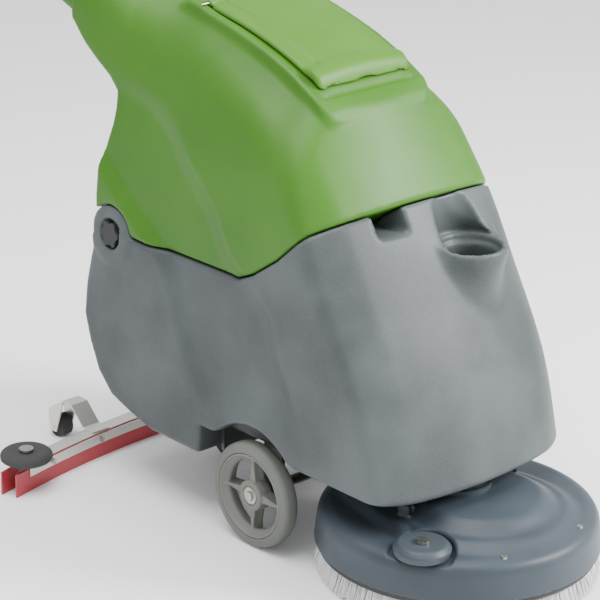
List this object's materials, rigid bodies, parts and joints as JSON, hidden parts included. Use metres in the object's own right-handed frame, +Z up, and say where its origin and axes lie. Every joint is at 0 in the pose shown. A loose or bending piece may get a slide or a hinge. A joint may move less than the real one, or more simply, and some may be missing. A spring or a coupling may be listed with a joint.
{
  "type": "wet dry floor scrubber",
  "caption": "Walk-behind floor scrubber with a recovery tank hinged over a solution tank, a round brush deck in front, a curved squeegee behind, spoked wheels and a rear caster.",
  "frame": {"origin": "on the floor, under the middle of the machine", "axes": "+Z up, -Y the direction of travel (front), +X to the right when seen from the front"},
  "size_m": [0.89, 1.198, 1.0082],
  "materials": {
    "grey_tank": "rotomoulded, fine speckle",
    "green_tank": "rotomoulded, soft satin",
    "green_lid": "moulded, satin",
    "deck_grey": "moulded, satin",
    "wheel_grey": "moulded, satin",
    "tyre_grey": "non-marking rubber",
    "frame_black": "powder coat",
    "zinc_steel": "zinc plated",
    "stainless": "folded, brushed",
    "black_plastic": "moulded",
    "gloss_black": "gloss",
    "bumper_rubber": "matt",
    "black_rubber": "matt",
    "red_rubber": "satin",
    "bristle": "nylon filaments",
    "battery_case": "moulded",
    "lead": "cast terminals",
    "button_green": "gloss",
    "button_blue": "gloss"
  },
  "bodies": {
    "chassis": {"solution_tank": "grey_tank", "chassis_frame": "frame_black", "wheel_axle": "zinc_steel", "axle_bolts": "zinc_steel", "deck_shaft": "zinc_steel", "battery_left": "battery_case", "battery_right": "battery_case", "battery_posts": "lead", "filler_strainer": "black_plastic", "hinge_pins": "zinc_steel", "hinge_knobs": "black_plastic", "drain_plug": "black_plastic"},
    "wheel_left": {"wheel_rim_left": "wheel_grey", "wheel_tyre_left": "tyre_grey"},
    "wheel_right": {"wheel_rim_right": "wheel_grey", "wheel_tyre_right": "tyre_grey"},
    "caster_swivel": {"caster_fork": "zinc_steel", "caster_axle": "zinc_steel"},
    "caster_wheel": {"caster_wheel": "black_rubber"},
    "deck_arms": {"deck_arms": "frame_black"},
    "deck_rod": {"deck_rod": "zinc_steel"},
    "deck_pedal": {"deck_pedal": "frame_black", "pedal_pad": "black_rubber"},
    "deck": {"deck_cover": "deck_grey", "brush_motor": "frame_black", "motor_collar": "deck_grey", "splash_skirt": "black_rubber", "deck_screws": "zinc_steel"},
    "brush": {"brush_hub": "black_plastic", "brush_block": "black_plastic", "brush_bristles": "bristle"},
    "bumper_roller": {"bumper_roller": "bumper_rubber"},
    "squeegee_arm": {"squeegee_arm": "frame_black"},
    "squeegee_lever": {"squeegee_lever": "zinc_steel"},
    "squeegee": {"squeegee_channel": "stainless", "front_blade": "red_rubber", "rear_blade": "red_rubber", "blade_straps": "stainless", "squeegee_bolts": "zinc_steel", "squeegee_spigot": "black_plastic", "squeegee_brackets": "stainless"},
    "end_disc_left": {"end_disc_left": "black_rubber"},
    "end_disc_right": {"end_disc_right": "black_rubber"},
    "support_roller_left": {"support_roller_left": "black_rubber"},
    "support_roller_right": {"support_roller_right": "black_rubber"},
    "recovery_tank": {"recovery_tank": "green_tank", "tank_spigots": "black_plastic", "vacuum_motor": "frame_black", "float_cage": "black_plastic", "control_panel": "gloss_black", "battery_gauge": "gloss_black", "handlebar": "black_rubber", "lid_pin": "zinc_steel"},
    "lid": {"tank_lid": "green_lid", "lid_gasket": "black_rubber"},
    "deadman_lever": {"deadman_lever": "black_plastic"},
    "brush_button": {"brush_button": "button_green"},
    "vacuum_button": {"vacuum_button": "button_blue"},
    "key_switch": {"key_switch": "zinc_steel"},
    "water_knob": {"water_knob": "black_plastic"}
  },
  "joints": [
    {"name": "wheel_left_spin", "type": "hinge", "parent": "chassis", "child": "wheel_left", "pos_m": [0.219, -0.048, 0.1], "axis": [1, 0, 0], "continuous": true},
    {"name": "wheel_right_spin", "type": "hinge", "parent": "chassis", "child": "wheel_right", "pos_m": [-0.219, -0.048, 0.1], "axis": [1, 0, 0], "continuous": true},
    {"name": "caster_turn", "type": "hinge", "parent": "chassis", "child": "caster_swivel", "pos_m": [0, 0.25, 0.11], "axis": [0, 0, 1], "continuous": true},
    {"name": "caster_spin", "type": "hinge", "parent": "caster_swivel", "child": "caster_wheel", "pos_m": [0, 0.276, 0.038], "axis": [1, 0, 0], "continuous": true},
    {"name": "deck_lift", "type": "hinge", "parent": "chassis", "child": "deck_arms", "pos_m": [0, -0.03, 0.16], "axis": [-1, 0, 0], "range_deg": [0, 4.5]},
    {"name": "deck_tilt", "type": "hinge", "parent": "deck_arms", "child": "deck", "pos_m": [0, -0.344, 0.15], "axis": [1, 0, 0], "range_deg": [-2, 2]},
    {"name": "brush_spin", "type": "hinge", "parent": "deck", "child": "brush", "pos_m": [0, -0.344, 0.07], "axis": [0, 0, 1], "continuous": true},
    {"name": "bumper_spin", "type": "hinge", "parent": "deck", "child": "bumper_roller", "pos_m": [-0.19096, -0.44214, 0.13], "axis": [0, 0, 1], "continuous": true},
    {"name": "rod_swing", "type": "hinge", "parent": "deck_arms", "child": "deck_rod", "pos_m": [0.13, -0.03, 0.12], "axis": [-1, 0, 0], "range_deg": [-4.5, 0]},
    {"name": "pedal_press", "type": "hinge", "parent": "chassis", "child": "deck_pedal", "pos_m": [0.144, 0.318, 0.13], "axis": [-1, 0, 0], "range_deg": [0, 18]},
    {"name": "squeegee_lift", "type": "hinge", "parent": "chassis", "child": "squeegee_arm", "pos_m": [0, 0.336, 0.118], "axis": [1, 0, 0], "range_deg": [0, 16]},
    {"name": "squeegee_swing", "type": "hinge", "parent": "squeegee_arm", "child": "squeegee", "pos_m": [0, 0.463, 0.06], "axis": [0, 0, 1], "range_deg": [-12, 12]},
    {"name": "lever_turn", "type": "hinge", "parent": "chassis", "child": "squeegee_lever", "pos_m": [0.094, 0.44, 0.36], "axis": [-1, 0, 0], "range_deg": [0, 60]},
    {"name": "disc_left_spin", "type": "hinge", "parent": "squeegee", "child": "end_disc_left", "pos_m": [0.387, 0.41836, 0.065], "axis": [0, 0, 1], "continuous": true},
    {"name": "disc_right_spin", "type": "hinge", "parent": "squeegee", "child": "end_disc_right", "pos_m": [-0.387, 0.41836, 0.065], "axis": [0, 0, 1], "continuous": true},
    {"name": "support_left_spin", "type": "hinge", "parent": "squeegee", "child": "support_roller_left", "pos_m": [0.19, 0.57, 0.022], "axis": [1, 0, 0], "continuous": true},
    {"name": "support_right_spin", "type": "hinge", "parent": "squeegee", "child": "support_roller_right", "pos_m": [-0.19, 0.57, 0.022], "axis": [1, 0, 0], "continuous": true},
    {"name": "tank_tilt", "type": "hinge", "parent": "chassis", "child": "recovery_tank", "pos_m": [0, 0.345, 0.495], "axis": [-1, 0, 0], "range_deg": [0, 55]},
    {"name": "lid_open", "type": "hinge", "parent": "recovery_tank", "child": "lid", "pos_m": [0, 0.209, 0.939], "axis": [-1, 0, 0], "range_deg": [0, 80]},
    {"name": "trigger_squeeze", "type": "hinge", "parent": "recovery_tank", "child": "deadman_lever", "pos_m": [0, 0.52, 0.925], "axis": [1, 0, 0], "range_deg": [0, 14], "stiffness_Nm_per_rad": 1, "springref_deg": -28.65},
    {"name": "brush_button_press", "type": "slide", "parent": "recovery_tank", "child": "brush_button", "axis": [0, -0.2873, -0.9578], "range_m": [0, 0.0028], "stiffness_N_per_m": 300, "springref_m": -0.0005},
    {"name": "vacuum_button_press", "type": "slide", "parent": "recovery_tank", "child": "vacuum_button", "axis": [0, -0.2873, -0.9578], "range_m": [0, 0.0028], "stiffness_N_per_m": 300, "springref_m": -0.0005},
    {"name": "key_turn", "type": "hinge", "parent": "recovery_tank", "child": "key_switch", "pos_m": [-0.035, 0.4123, 0.98766], "axis": [0, 0.2873, 0.9578], "range_deg": [0, 80]},
    {"name": "knob_turn", "type": "hinge", "parent": "recovery_tank", "child": "water_knob", "pos_m": [0.09, 0.4123, 0.98766], "axis": [0, 0.2873, 0.9578], "range_deg": [-135, 135]}
  ],
  "couplings": [
    {"joint": "rod_swing", "follows": "deck_lift", "ratio": -1},
    {"joint": "pedal_press", "follows": "deck_lift", "ratio": 4},
    {"joint": "lever_turn", "follows": "squeegee_lift", "ratio": 3.75}
  ]
}
